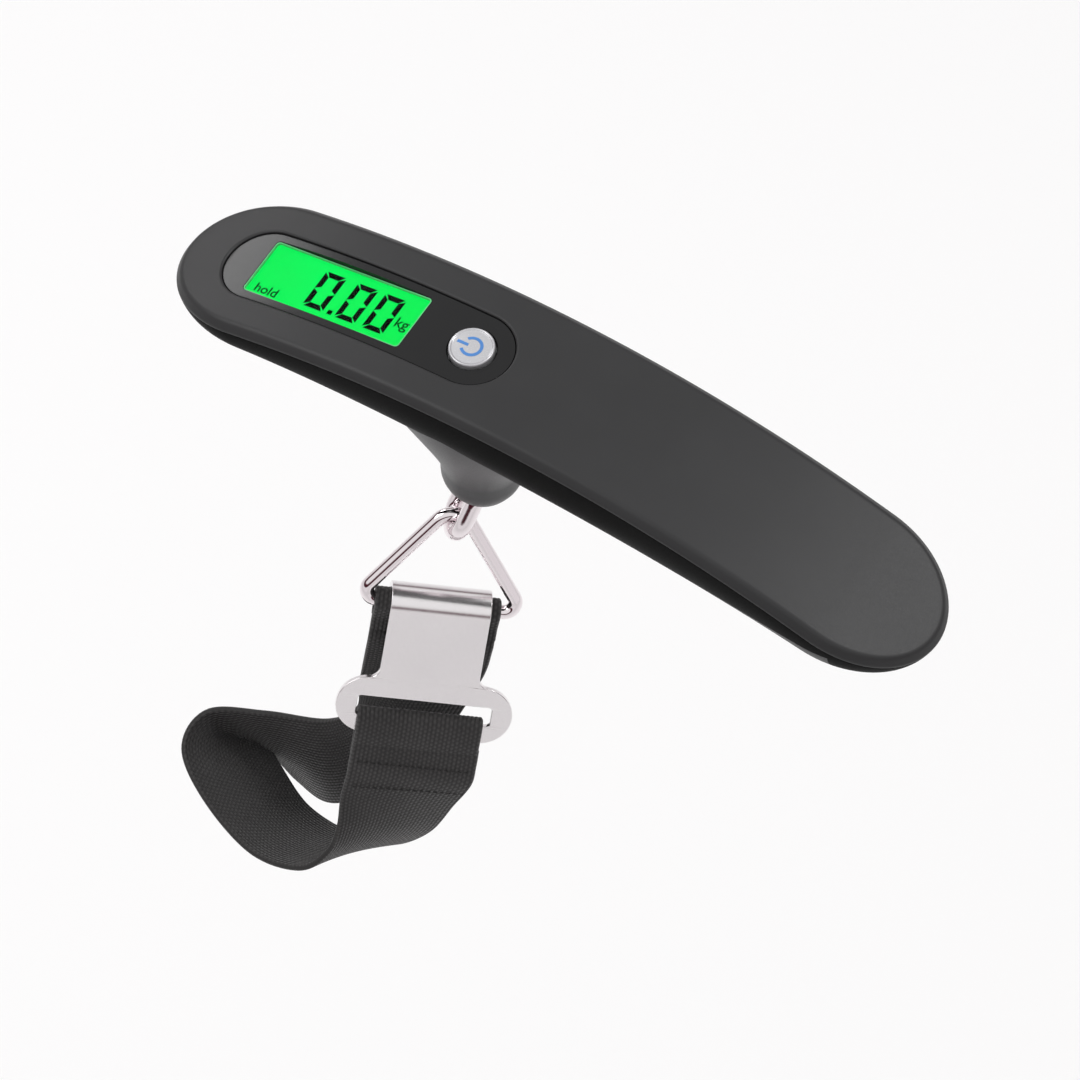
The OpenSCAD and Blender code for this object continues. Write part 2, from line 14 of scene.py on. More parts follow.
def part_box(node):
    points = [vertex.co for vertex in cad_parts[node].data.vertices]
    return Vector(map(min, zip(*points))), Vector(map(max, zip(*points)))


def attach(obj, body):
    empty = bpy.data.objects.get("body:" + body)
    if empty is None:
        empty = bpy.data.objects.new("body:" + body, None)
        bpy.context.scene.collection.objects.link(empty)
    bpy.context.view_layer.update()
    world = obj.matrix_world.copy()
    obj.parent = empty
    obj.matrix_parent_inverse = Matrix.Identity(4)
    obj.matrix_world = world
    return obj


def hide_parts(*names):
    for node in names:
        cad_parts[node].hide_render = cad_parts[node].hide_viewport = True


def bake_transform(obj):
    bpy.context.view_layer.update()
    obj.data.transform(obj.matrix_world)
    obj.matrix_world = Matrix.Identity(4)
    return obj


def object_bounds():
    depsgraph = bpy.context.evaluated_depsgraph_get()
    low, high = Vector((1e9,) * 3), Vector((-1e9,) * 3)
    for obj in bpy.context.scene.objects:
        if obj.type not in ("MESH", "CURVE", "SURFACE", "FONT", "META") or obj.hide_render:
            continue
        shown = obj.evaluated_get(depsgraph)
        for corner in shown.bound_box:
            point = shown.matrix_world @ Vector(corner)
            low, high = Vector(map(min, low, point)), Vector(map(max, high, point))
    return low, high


MM = 0.001

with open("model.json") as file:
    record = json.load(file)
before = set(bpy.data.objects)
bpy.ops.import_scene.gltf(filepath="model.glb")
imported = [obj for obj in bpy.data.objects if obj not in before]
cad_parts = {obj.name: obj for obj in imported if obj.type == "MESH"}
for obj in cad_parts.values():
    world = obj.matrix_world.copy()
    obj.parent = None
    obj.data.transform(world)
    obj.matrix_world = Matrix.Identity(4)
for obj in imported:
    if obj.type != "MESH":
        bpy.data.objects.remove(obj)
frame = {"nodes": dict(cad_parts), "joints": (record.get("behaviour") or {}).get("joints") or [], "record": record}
cad_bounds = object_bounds()
joints = {joint["name"]: joint for joint in frame["joints"]}
slot_of = {row["node"]: row["material_slot"] for row in frame["record"]["subparts"]}

# Handle
ARCH_R = 221.6
APEX_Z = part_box("top_shell")[1].z / MM
FACE_HALF_LEN = 84.65
FACE_HALF_W = 14.6
FACE_END = 18.6
CHAMFER = 1.5
PARTING = 2.0
WALL = 1.6
BELLY_END = 6
BELLY_MID = 13
BELLY_S = 5
BELLY_REACH = 91
BELLY_POWER = 2.6
END_STEPS = 26
SIDE_STEPS = 44

# Display and button
PANEL_S = -43.2
PANEL_HALF_LEN = 32.2
PANEL_HALF_W = 8.25
PANEL_H = 0.5
LCD_S = -50.1
LCD_LEN = 35.8
LCD_W = 12.7
LCD_FACE_Z = -2.05
BUTTON_S = -19.3
BUTTON_R = 4.5

# Battery door and screws
DOOR_X = (36, 68.5)
DOOR_Z = -4.4
DOOR_GAP = 0.15
SCREW_S = (-79.6, 31.5, 78)
SCREW_FLOOR = (8.45, 19.95, 10.7)
SCREW_HEAD_R = 1.8

# Boss and chain
BOSS_X = -17
BOSS_R = 8.15
BOSS_TIP_Z = APEX_Z - 44.3
BOSS_NOSE_Z = APEX_Z - 39.7
MOUTH_R = 6.5
FLARE_Z = BOSS_TIP_Z + 6.8
FLARE_X = 11.0
FLARE_Y = 6.8
FLARE_POWER = 1.5
EYE_R = 4.4
EYE_WIRE_R = 1.25
EYE_TURN = math.radians(56)
LINK_WIRE_R = 1.75
LINK_HALF_GAP = 4.05
LINK_LEN = 12.6
LINK_PLAY = 0.1
LINK_TURN = (-28.7, -25.6, -46.5)
LINK_SWING = math.radians(31)
RING_WIRE_R = 1.4
RING_HALF_W = 14.45
RING_H = 20.6
APEX_BEND = 3.9
CORNER_BEND = 2.2

# Hook plate and webbing, in the frame of the ring's bar
PLATE_IN = 2.7
PLATE_OUT = 3.9
NECK_HALF_W = 9.75
LOBE_HALF_W = 17.25
LOBE_Z = (-27.8, -15.4)
SLOT_HALF_LEN = 13.15
SLOT_Z = (-23.9, -19.6)
NECK_FILLET = 2
STRAP_T = 1.2
STRAP_W = 24.7
STRAP_X = (-12.7, 12)
RIBS = 30


# ---- Camera, light and floor ----


def aim_camera():
    """Camera at the photograph's side; gives the point it looks at."""
    azimuth, elevation = math.radians(32.1), math.radians(58)
    away = Vector((
        math.sin(azimuth) * math.cos(elevation),
        -math.cos(azimuth) * math.cos(elevation),
        math.sin(elevation),
    ))
    right = Vector((math.cos(azimuth), math.sin(azimuth), 0))
    up = away.cross(right)
    distance, view_width = 1.87, 0.202
    left_of_apex, below_apex = 3.52 * MM, 27.9 * MM
    target = Vector((0, 0, APEX_Z * MM)) - left_of_apex * right - below_apex * up
    data = bpy.data.cameras.new("camera")
    data.sensor_width = 36
    data.lens = 36 * distance / view_width
    camera = bpy.data.objects.new("camera", data)
    camera.matrix_world = Matrix.Translation(target + distance * away) @ Matrix(
        (right, up, away)).transposed().to_4x4()
    bpy.context.scene.collection.objects.link(camera)
    bpy.context.scene.camera = camera
    return target


def area_light(name, place, target, size, power, colour=(1, 1, 1)):
    data = bpy.data.lights.new(name, "AREA")
    data.shape = "RECTANGLE"
    data.size, data.size_y = size
    data.energy = power
    data.color = colour
    light = bpy.data.objects.new(name, data)
    light.matrix_world = Matrix.Translation(place) @ (
        (Vector(place) - target).to_track_quat("Z", "Y").to_matrix().to_4x4())
    bpy.context.scene.collection.objects.link(light)
    return light


def studio(target):
    """Three soft lights round the target, under a pale sky."""
    reach = 1.1
    for name, direction, size, power in (
        ("key", (-0.75, -0.35, 0.85), (0.6, 0.6), 3.2),
        ("far_end", (0.42, 0.45, 0.79), (0.30, 0.30), 3.0),
        ("display_end", (-0.80, 0.42, 0.42), (0.25, 0.25), 1.2),
    ):
        area_light(name, target + reach * Vector(direction).normalized(), target, size, power)

    # A dark red-brown band stands low above the horizon, which the chrome picks up.
    world = bpy.data.worlds.new("sky")
    world.use_nodes = True
    tree = world.node_tree
    coord = tree.nodes.new("ShaderNodeTexCoord")
    split = tree.nodes.new("ShaderNodeSeparateXYZ")
    ramp = tree.nodes.new("ShaderNodeValToRGB")
    height = tree.nodes.new("ShaderNodeMapRange")
    height.inputs["From Min"].default_value = -1
    tree.links.new(coord.outputs["Generated"], split.inputs[0])
    tree.links.new(split.outputs["Z"], height.inputs["Value"])
    tree.links.new(height.outputs["Result"], ramp.inputs["Fac"])
    tree.links.new(ramp.outputs["Color"], tree.nodes["Background"].inputs["Color"])
    stops = ramp.color_ramp.elements
    stops[0].position, stops[0].color = 0.0, (0.9, 0.9, 0.9, 1)
    stops[1].position, stops[1].color = 1.0, (1.0, 1.0, 1.0, 1)
    for position, colour in (
        (0.57, (0.88, 0.86, 0.87, 1)),
        (0.60, (0.05, 0.012, 0.018, 1)),
        (0.69, (0.09, 0.02, 0.03, 1)),
        (0.73, (0.95, 0.95, 0.95, 1)),
    ):
        stops.new(position).color = colour
    tree.nodes["Background"].inputs["Strength"].default_value = 0.9
    bpy.context.scene.world = world


def floor():
    half, below = 6.0, 0.30
    low = Vector(cad_bounds[0]).z - below
    mesh = bpy.data.meshes.new("floor")
    corners = [(-half, -half, low), (half, -half, low), (half, half, low), (-half, half, low)]
    mesh.from_pydata(corners, [], [(0, 1, 2, 3)])
    plane = bpy.data.objects.new("floor", mesh)
    bpy.context.scene.collection.objects.link(plane)
    material, _, shader = new_material("floor_paper")
    shader.inputs["Base Color"].default_value = (0.93, 0.93, 0.93, 1)
    shader.inputs["Roughness"].default_value = 0.9
    mesh.materials.append(material)


# ---- Materials ----


def new_material(name):
    material = bpy.data.materials.new(name)
    material.use_nodes = True
    tree = material.node_tree
    return material, tree, tree.nodes["Principled BSDF"]


def noise(tree, scale, detail=3.0, stretch=(1, 1, 1)):
    coord = tree.nodes.new("ShaderNodeTexCoord")
    mapping = tree.nodes.new("ShaderNodeMapping")
    mapping.inputs["Scale"].default_value = stretch
    texture = tree.nodes.new("ShaderNodeTexNoise")
    texture.inputs["Scale"].default_value = scale
    texture.inputs["Detail"].default_value = detail
    tree.links.new(coord.outputs["Object"], mapping.inputs["Vector"])
    tree.links.new(mapping.outputs["Vector"], texture.inputs["Vector"])
    return texture.outputs["Fac"]


def span(tree, value, low, high):
    """Spreads a noise value over the range low to high."""
    node = tree.nodes.new("ShaderNodeMapRange")
    node.inputs["From Min"].default_value = 0.3
    node.inputs["From Max"].default_value = 0.7
    node.inputs["To Min"].default_value = low
    node.inputs["To Max"].default_value = high
    tree.links.new(value, node.inputs["Value"])
    return node.outputs["Result"]


def two_tone(tree, value, low, high):
    ramp = tree.nodes.new("ShaderNodeValToRGB")
    ramp.color_ramp.elements[0].position = 0.3
    ramp.color_ramp.elements[0].color = (*low, 1)
    ramp.color_ramp.elements[1].position = 0.7
    ramp.color_ramp.elements[1].color = (*high, 1)
    tree.links.new(value, ramp.inputs["Fac"])
    return ramp.outputs["Color"]


def bump(tree, shader, height, depth, strength=1.0):
    node = tree.nodes.new("ShaderNodeBump")
    node.inputs["Distance"].default_value = depth * MM
    node.inputs["Strength"].default_value = strength
    tree.links.new(height, node.inputs["Height"])
    tree.links.new(node.outputs["Normal"], shader.inputs["Normal"])


def surface(name, colour, rough, metallic=0.0, vary=0.08, grain=4000.0, depth=0.006,
            stretch=(1, 1, 1), coat=0.0, gloss=0.5, rough_vary=0.12):
    """Colour and roughness that vary softly, over a fine grain."""
    material, tree, shader = new_material(name)
    soft = noise(tree, 60.0)
    low = [c * (1 - vary) for c in colour]
    high = [c * (1 + vary) for c in colour]
    tree.links.new(two_tone(tree, soft, low, high), shader.inputs["Base Color"])
    fine = noise(tree, grain, stretch=stretch)
    rough_range = (rough * (1 - rough_vary), rough * (1 + rough_vary))
    tree.links.new(span(tree, fine, *rough_range), shader.inputs["Roughness"])
    bump(tree, shader, fine, depth)
    shader.inputs["Metallic"].default_value = metallic
    shader.inputs["Coat Weight"].default_value = coat
    shader.inputs["Coat Roughness"].default_value = 0.12
    shader.inputs["Specular IOR Level"].default_value = gloss
    return material


def clear_window():
    material, tree, shader = new_material("clear_window")
    shader.inputs["Base Color"].default_value = (0.96, 1.0, 0.97, 1)
    shader.inputs["Transmission Weight"].default_value = 1.0
    shader.inputs["IOR"].default_value = 1.1
    fine = noise(tree, 900.0)
    tree.links.new(span(tree, fine, 0.0, 0.02), shader.inputs["Roughness"])
    shader.inputs["Specular IOR Level"].default_value = 0.1
    return material


def lit_green():
    material, tree, shader = new_material("lcd_green")
    soft = noise(tree, 45.0)
    green = two_tone(tree, soft, (0.0, 0.86, 0.085), (0.0, 0.96, 0.115))
    tree.links.new(green, shader.inputs["Emission Color"])
    shader.inputs["Base Color"].default_value = (0.0, 0.02, 0.005, 1)
    shader.inputs["Specular IOR Level"].default_value = 0.05
    shader.inputs["Emission Strength"].default_value = 0.95
    shader.inputs["Roughness"].default_value = 0.5
    return material


def circuit_board():
    material, tree, shader = new_material("green_board")
    coord = tree.nodes.new("ShaderNodeTexCoord")
    tracks = tree.nodes.new("ShaderNodeTexBrick")
    tracks.inputs["Scale"].default_value = 260.0
    tracks.inputs["Mortar Size"].default_value = 0.03
    tracks.inputs["Color1"].default_value = (0.012, 0.13, 0.045, 1)
    tracks.inputs["Color2"].default_value = (0.02, 0.17, 0.06, 1)
    tracks.inputs["Mortar"].default_value = (0.05, 0.28, 0.1, 1)
    tree.links.new(coord.outputs["Object"], tracks.inputs["Vector"])
    tree.links.new(tracks.outputs["Color"], shader.inputs["Base Color"])
    tree.links.new(span(tree, noise(tree, 2500.0), 0.25, 0.35), shader.inputs["Roughness"])
    bump(tree, shader, tracks.outputs["Fac"], 0.02, 0.5)
    return material


def maths(tree, operation, *inputs):
    node = tree.nodes.new("ShaderNodeMath")
    node.operation = operation
    for socket, value in zip(node.inputs, inputs):
        if isinstance(value, (int, float)):
            socket.default_value = value
        else:
            tree.links.new(value, socket)
    return node.outputs[0]


def woven(name="webbing"):
    """Warp ribs along the webbing, crossed by picks that step from rib to rib."""
    material, tree, shader = new_material(name)
    uv = tree.nodes.new("ShaderNodeUVMap")
    uv.uv_map = "weave"
    split = tree.nodes.new("ShaderNodeSeparateXYZ")
    tree.links.new(uv.outputs["UV"], split.inputs[0])
    across = maths(tree, "MULTIPLY", split.outputs["X"], RIBS)
    along = maths(tree, "MULTIPLY", split.outputs["Y"], STRAP_W / 0.95)
    rib = maths(tree, "ABSOLUTE", maths(tree, "SINE", maths(tree, "MULTIPLY", across, math.pi)))
    step = maths(tree, "MULTIPLY", maths(tree, "FLOOR", across), 0.5)
    phase = maths(tree, "MULTIPLY", maths(tree, "ADD", along, step), 2 * math.pi)
    pick = maths(tree, "MULTIPLY_ADD", maths(tree, "SINE", phase), 0.5, 0.5)
    weave = maths(tree, "MULTIPLY", rib, maths(tree, "MULTIPLY_ADD", pick, 0.55, 0.45))
    fuzz = noise(tree, 9000.0, detail=2.0)
    height = maths(tree, "MULTIPLY_ADD", fuzz, 0.25, weave)
    bump(tree, shader, height, 0.16, 0.9)
    # Base colour: random tone from noise, plus painted shade that darkens the weave's hollows and lightens its
    # raised threads.
    half_weave = maths(tree, "MULTIPLY", weave, 0.5)
    tone_and_painted_shade = maths(tree, "MULTIPLY_ADD", noise(tree, 120.0), 0.35, half_weave)
    tree.links.new(two_tone(tree, tone_and_painted_shade, (0.014, 0.013, 0.013), (0.046, 0.043, 0.043)),
                   shader.inputs["Base Color"])
    tree.links.new(span(tree, fuzz, 0.62, 0.82), shader.inputs["Roughness"])
    shader.inputs["Sheen Weight"].default_value = 0.25
    shader.inputs["Sheen Roughness"].default_value = 0.4
    return material


MATERIALS = {
    "grey_plastic": surface("grey_plastic", (0.022, 0.022, 0.023), 0.44, grain=5200.0, gloss=0.36),
    "black_plastic": surface("black_plastic", (0.0008, 0.0008, 0.0008), 0.5, gloss=0.03),
    "panel_plastic": surface("panel_plastic", (0.008, 0.008, 0.0085), 0.22, depth=0.001, gloss=0.3),
    "boss_plastic": surface("boss_plastic", (0.045, 0.045, 0.047), 0.42, gloss=0.4),
    "white_plastic": surface("white_plastic", (0.78, 0.78, 0.74), 0.45),
    "red_plastic": surface("red_plastic", (0.45, 0.03, 0.03), 0.4),
    "silver_button": surface("silver_button", (0.58, 0.58, 0.60), 0.25, 0.6, 0.03, 6000.0, 0.002),
    "clear_window": clear_window(),
    "lcd_green": lit_green(),
    "copper_film": surface("copper_film", (0.72, 0.42, 0.14), 0.3, 0.9),
    "green_board": circuit_board(),
    "solder_parts": surface("solder_parts", (0.6, 0.56, 0.48), 0.35, 0.8),
    "steel_screws": surface("steel_screws", (0.6, 0.6, 0.62), 0.3, 1.0),
    "bright_steel": surface("bright_steel", (0.75, 0.75, 0.76), 0.2, 1.0, stretch=(1, 8, 1)),
    "spring_brass": surface("spring_brass", (0.78, 0.66, 0.4), 0.28, 1.0),
    "red_wire": surface("red_wire", (0.5, 0.02, 0.02), 0.35),
    "blue_wire": surface("blue_wire", (0.03, 0.12, 0.45), 0.35),
    "machined_aluminium": surface("machined_aluminium", (0.76, 0.77, 0.78), 0.32, 1.0,
                                  stretch=(1, 12, 1)),
    "grey_metal": surface("grey_metal", (0.4, 0.4, 0.42), 0.4, 0.9),
    "chrome_wire": surface("chrome_wire", (0.86, 0.80, 0.82), 0.07, 1.0, 0.03, 1500.0, 0.003),
    "satin_steel": surface("satin_steel", (0.88, 0.85, 0.86), 0.24, 1.0, 0.02, 2600.0, 0.0015,
                           stretch=(1, 1, 0.08)),
    "webbing": woven(),
}
INK = surface("lcd_ink", (0.001, 0.0015, 0.001), 0.8, gloss=0.05)
BLUE_INK = surface("blue_ink", (0.065, 0.22, 0.56), 0.4)
THREAD = surface("thread", (0.012, 0.011, 0.011), 0.7, depth=0.02)


# ---- Mesh making ----


def piece(name, points, faces, slot, body, replaces=(), angle=35, material=None, uv=None):
    """Object from points in millimetres, smooth but for edges sharper than the angle."""
    mesh = bpy.data.meshes.new(name)
    mesh.from_pydata([Vector(p) * MM for p in points], [], faces)
    if uv:
        layer = mesh.uv_layers.new(name="weave")
        for loop in mesh.loops:
            layer.data[loop.index].uv = uv[loop.vertex_index]
    return settle(mesh, name, slot, body, replaces, angle, material)


def settle(mesh, name, slot, body, replaces=(), angle=35, material=None, flats=False):
    """Finished object; flats keeps broad faces evenly lit beside narrow ones."""
    mesh.validate()
    mesh.shade_smooth()
    mesh.set_sharp_from_angle(angle=math.radians(angle))
    mesh.materials.clear()
    mesh.materials.append(material or MATERIALS[slot])
    obj = bpy.data.objects.new(name, mesh)
    bpy.context.scene.collection.objects.link(obj)
    if flats:
        even = obj.modifiers.new("even", "WEIGHTED_NORMAL")
        even.keep_sharp = True
        even.weight = 100
    if body:
        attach(obj, body)
    if replaces:
        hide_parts(*replaces)
    return obj


def scratch(points, faces):
    """Throwaway object that takes part in a boolean cut."""
    mesh = bpy.data.meshes.new("scratch")
    mesh.from_pydata([Vector(p) * MM for p in points], [], faces)
    obj = bpy.data.objects.new("scratch", mesh)
    bpy.context.scene.collection.objects.link(obj)
    return obj


def discard(obj):
    mesh = obj.data
    bpy.data.objects.remove(obj)
    bpy.data.meshes.remove(mesh)


def carve(solid, cutters, operation="DIFFERENCE"):
    """Mesh of a scratch solid after each cutter is taken from it or kept in common with it."""
    for cutter in cutters:
        tool = scratch(*cutter)
        change = solid.modifiers.new("carve", "BOOLEAN")
        change.operation = operation
        change.solver = "EXACT"
        change.object = tool
        view = bpy.context.evaluated_depsgraph_get()
        mesh = bpy.data.meshes.new_from_object(solid.evaluated_get(view))
        solid.modifiers.clear()
        old, solid.data = solid.data, mesh
        bpy.data.meshes.remove(old)
        discard(tool)
    result = solid.data.copy()
    discard(solid)
    return result


def loft(rings):
    """Closed solid through equal rings that mirror in y, with ladder caps at both ends."""
    n, half = len(rings[0]), len(rings[0]) // 2
    points = [p for ring in rings for p in ring]
    sides = [
        (j * n + k, (j + 1) * n + k, (j + 1) * n + (k + 1) % n, j * n + (k + 1) % n)
        for j in range(len(rings) - 1) for k in range(n)
    ]
    cap = [(0, 1, n - 1)]
    cap += [(k, k + 1, n - k - 1, n - k) for k in range(1, half - 1)]
    cap += [(half - 1, half, half + 1)]
    last = (len(rings) - 1) * n
    top = [tuple(face) for face in cap]
    base = [tuple(last + v for v in reversed(face)) for face in cap]
    return points, top + sides + base


def rounded_path(corners, steps=4):
    """Polyline through (x, y, radius) corners, each bent round by its radius."""
    path = []
    for i, (x, y, radius) in enumerate(corners):
        here = Vector((x, y))
        if radius == 0 or i in (0, len(corners) - 1):
            path.append(tuple(here))
            continue
        before = here + radius * (Vector(corners[i - 1][:2]) - here).normalized()
        after = here + radius * (Vector(corners[i + 1][:2]) - here).normalized()
        for k in range(steps + 1):
            t = k / steps
            path.append(tuple((1 - t) ** 2 * before + 2 * t * (1 - t) * here + t * t * after))
    return path


def lathe(profile, place, turns=96):
    """Solid of revolution of (radius, z) pairs about +Z of place, closed on its axis."""
    points, faces = [], []
    for radius, z in profile:
        for k in range(turns):
            a = 2 * math.pi * k / turns
            points.append(place @ Vector((radius * math.cos(a), radius * math.sin(a), z)))
    for j in range(len(profile) - 1):
        for k in range(turns):
            q = (k + 1) % turns
            faces.append((j * turns + k, j * turns + q, (j + 1) * turns + q, (j + 1) * turns + k))
    ends = ((0, profile[0][1]), (len(profile) - 1, profile[-1][1]))
    for ring, z in ends:
        points.append(place @ Vector((0, 0, z)))
        centre = len(points) - 1
        for k in range(turns):
            edge = (ring * turns + k, ring * turns + (k + 1) % turns)
            faces.append((centre, *(edge if ring else reversed(edge))))
    return points, faces


def box(low, high):
    points = [(x, y, z) for z in (low[2], high[2]) for y in (low[1], high[1])
              for x in (low[0], high[0])]
    faces = [(0, 2, 3, 1), (4, 5, 7, 6), (0, 1, 5, 4), (2, 6, 7, 3), (0, 4, 6, 2), (1, 3, 7, 5)]
    return points, faces


def prism(outline, z0, z1, place):
    """Straight prism of a flat outline, given anticlockwise."""
    n = len(outline)
    points = [place @ Vector((x, y, z)) for z in (z0, z1) for x, y in outline]
    faces = [tuple(reversed(range(n))), tuple(range(n, 2 * n))]
    faces += [(k, (k + 1) % n, n + (k + 1) % n, n + k) for k in range(n)]
    return points, faces


def merged(parts):
    points, faces = [], []
    for some_points, some_faces in parts:
        start = len(points)
        points += some_points
        faces += [tuple(start + v for v in face) for face in some_faces]
    return points, faces


def rounded_rect(length, width, corner, steps=6):
    outline = []
    for quarter, (sx, sy) in enumerate(((1, 1), (-1, 1), (-1, -1), (1, -1))):
        for k in range(steps + 1):
            a = math.pi / 2 * (quarter + k / steps)
            outline.append((
                sx * (length / 2 - corner) + corner * math.cos(a),
                sy * (width / 2 - corner) + corner * math.sin(a),
            ))
    return outline


# ---- Handle ----


def on_arch(s, y, h):
    a = s / ARCH_R
    return Vector(((ARCH_R + h) * math.sin(a), y, (ARCH_R + h) * math.cos(a) - ARCH_R + APEX_Z))


def at_arch(s, h=0.0):
    """Frame on the arch, with +Z along the top face's normal."""
    return Matrix.Translation(on_arch(s, 0, h)) @ Matrix.Rotation(s / ARCH_R, 4, "Y")


def outline_from(half_len, half_w, end_len, end_steps=END_STEPS, side_steps=SIDE_STEPS):
    straight = half_len - end_len
    quarter = []
    for k in range(end_steps):
        t = math.pi / 2 * k / end_steps
        quarter.append((straight + end_len * math.cos(t), half_w * math.sin(t)))
    side = [(straight * (1 - 2 * k / side_steps), half_w) for k in range(side_steps + 1)]
    far = [(-s, y) for s, y in reversed(quarter[1:])]
    upper = quarter + side + far
    lower = [(s, -y) for s, y in reversed(upper[1:])]
    return upper + [(-half_len, 0)] + lower


def outline(inset):
    return outline_from(FACE_HALF_LEN - inset, FACE_HALF_W - inset,
                        FACE_END * (FACE_HALF_W - inset) / FACE_HALF_W)


def face_ring(inset, depth):
    return [on_arch(s, y, -depth) for s, y in outline(inset)]


def belly(s):
    t = min(1, abs((s - BELLY_S) / BELLY_REACH))
    return BELLY_END + BELLY_MID * (1 - t * t) ** 1.2


def belly_ring(degrees, set_in=0.0, rim=PARTING + 0.05):
    t = math.radians(degrees)
    half_w = FACE_HALF_W + CHAMFER - set_in
    across = math.cos(t) ** (2 / BELLY_POWER)
    down = math.sin(t) ** (2 / BELLY_POWER)
    return [
        on_arch(s, y, -rim - (belly(s) - set_in) * down)
        for s, y in outline(FACE_HALF_W - half_w * across)
    ]


def panel_ring(grow, depth):
    half_w = PANEL_HALF_W + grow
    ring = outline_from(PANEL_HALF_LEN + grow, half_w, half_w, 24, 24)
    return [on_arch(PANEL_S + s, y, -depth) for s, y in ring]


def top_cover():
    lip = WALL + 0.35 - CHAMFER
    edge = rounded_path([
        (1.6, 0, 0), (0, 0, 0.7), (-CHAMFER, CHAMFER, 0.4), (-CHAMFER, PARTING, 0.22),
        (lip, PARTING, 0), (lip, PARTING + 1.1, 0), (lip + 1, PARTING + 1.1, 0), (lip + 1, 1.9, 0),
    ])
    solid = scratch(*loft([face_ring(inset, depth) for inset, depth in edge]))
    pocket = loft([panel_ring(0.6, -1), panel_ring(0.6, 0.0), panel_ring(0.32, 0.09),
                   panel_ring(0.12, 0.32), panel_ring(0.1, 2.5)])
    return settle(carve(solid, [pocket]), "top_cover", "grey_plastic", "housing", ("top_shell",),
                  flats=True)


def hollow_belly():
    inner = [belly_ring(t, WALL) for t in range(86, -1, -4)]
    rim = [belly_ring(0, 0.2), belly_ring(0, 0.04, PARTING + 0.1)]
    outer = [belly_ring(t, 0, PARTING + 0.2) for t in range(0, 87, 2)]
    points, faces = loft(inner + rim + outer)
    return points, faces


def door_box(gap):
    return box((DOOR_X[0] - gap, -20, -40), (DOOR_X[1] + gap, 20, DOOR_Z + gap))


def bottom_cover():
    cutters = [door_box(DOOR_GAP)]
    cutters.append(lathe([(BOSS_R + 0.4, -40), (BOSS_R + 0.4, 0)],
                         Matrix.Translation((BOSS_X, 0, 0))))
    for s, depth in zip(SCREW_S, SCREW_FLOOR):
        cutters.append(lathe([(SCREW_HEAD_R + 0.3, -10), (SCREW_HEAD_R + 0.3, 0)],
                             at_arch(s, 0.9 - depth)))
    mesh = carve(scratch(*hollow_belly()), cutters)
    return settle(mesh, "bottom_cover", "black_plastic", "housing", ("bottom_shell",),
                  flats=True)


def battery_cover():
    mesh = carve(scratch(*hollow_belly()), [door_box(0)], "INTERSECT")
    return settle(mesh, "battery_cover", "grey_plastic", "door", ("battery_door",))


def belly_surface_z(x, y):
    """Height of the bottom cover's outside at x and y, on the straight part of the handle."""
    s = x
    for _ in range(3):
        half_w = FACE_HALF_W + CHAMFER
        t = math.acos(min(1, abs(y) / half_w) ** (BELLY_POWER / 2))
        h = -PARTING - 0.2 - belly(s) * math.sin(t) ** (2 / BELLY_POWER)
        s = ARCH_R * math.asin(x / (ARCH_R + h))
    return on_arch(s, y, h).z


def boss():
    """Round nose and shank, with a hollow fillet that follows the cover's underside."""
    turns, steps = 96, 24
    core_r, core_top_z = 2.5, -9.5
    nose = rounded_path([(MOUTH_R, BOSS_TIP_Z + 4, 0), (MOUTH_R, BOSS_TIP_Z, 0.5)] + [
        (BOSS_R * math.cos(math.radians(a)), BOSS_NOSE_Z - BOSS_R * math.sin(math.radians(a)), 0)
        for a in (37, 30, 22, 14, 7, 0)
    ] + [(BOSS_R, FLARE_Z, 0)])
    rings = [[(radius, z)] * turns for radius, z in nose]
    for k in range(1, steps + 1):
        t = k / steps
        ring = []
        for i in range(turns):
            turn = 2 * math.pi * i / turns
            spread = FLARE_X if abs(math.cos(turn)) > 0.999 else 1 / math.hypot(
                math.cos(turn) / FLARE_X, math.sin(turn) / FLARE_Y)
            radius = BOSS_R + spread * t ** FLARE_POWER
            rim = belly_surface_z(BOSS_X + radius * math.cos(turn), radius * math.sin(turn))
            ring.append((radius, FLARE_Z + (rim + 0.05 - FLARE_Z) * t))
        rings.append(ring)
    rings.append([(radius - 1, z + 1) for radius, z in rings[-1]])
    rings.append([(core_r, core_top_z)] * turns)
    rings.append([(core_r, BOSS_TIP_Z + 4)] * turns)
    points = []
    for ring in rings:
        for i, (radius, z) in enumerate(ring):
            turn = 2 * math.pi * i / turns
            points.append((BOSS_X + radius * math.cos(turn), radius * math.sin(turn), z))
    count = len(rings)
    faces = []
    for j in range(count):
        for i in range(turns):
            q, up = (i + 1) % turns, (j + 1) % count
            faces.append((j * turns + i, j * turns + q, up * turns + q, up * turns + i))
    return piece("boss", points, faces, "boss_plastic", "housing", ("hanging_boss",))


# ---- Display and button ----


